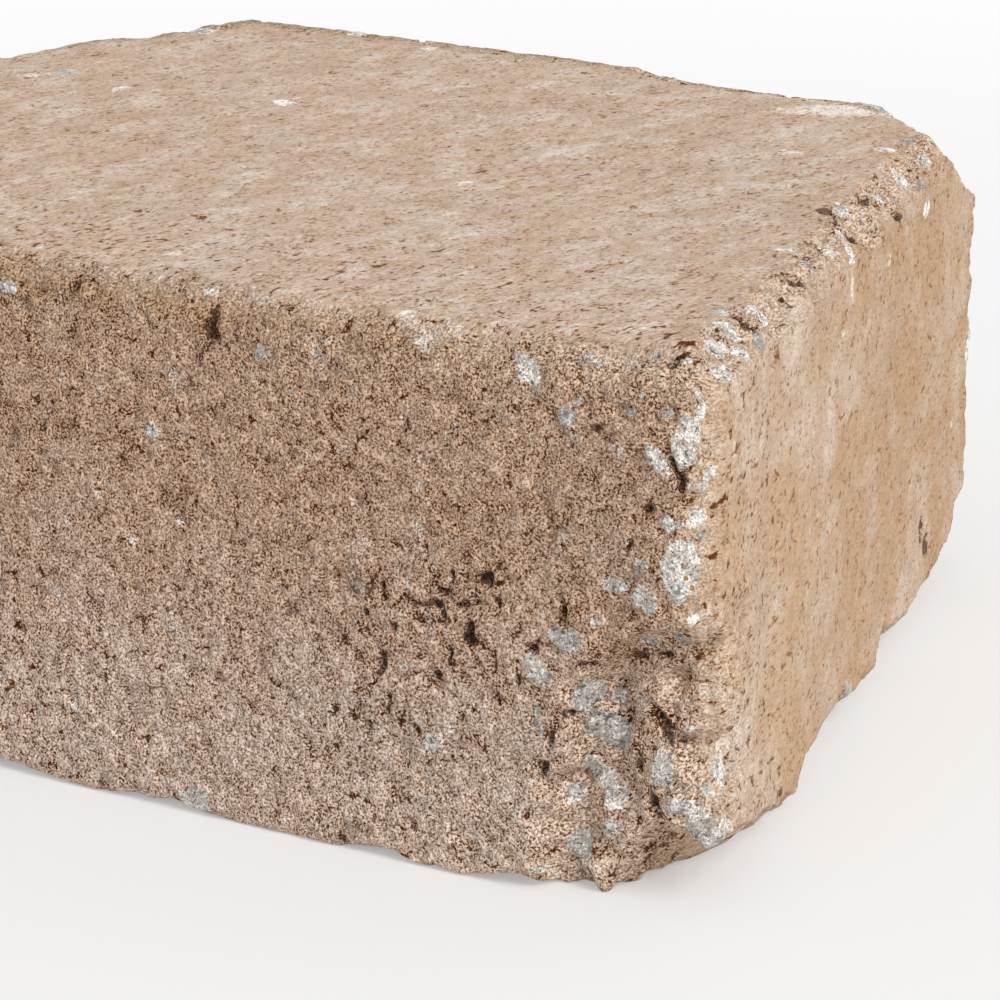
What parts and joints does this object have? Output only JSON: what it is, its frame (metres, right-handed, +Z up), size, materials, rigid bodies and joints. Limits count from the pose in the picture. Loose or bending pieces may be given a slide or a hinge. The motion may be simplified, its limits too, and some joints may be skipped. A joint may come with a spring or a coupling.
{
  "type": "retaining wall block",
  "caption": "Tumbled, tapered concrete block for a low garden retaining wall, with worn arrises and one broken lower corner.",
  "frame": {"origin": "middle of the bed, the face that the block lies on", "axes": "+X to the right along the wide face, as seen from in front of the wall; +Y from that face to the narrow back; +Z up"},
  "size_m": [0.2988, 0.203, 0.089],
  "materials": {
    "concrete": "tan dry-cast concrete with an open sandy grain, worn by tumbling, gravel bared at the broken arrises"
  },
  "bodies": {
    "root": {"wall_block": "concrete"}
  },
  "joints": []
}
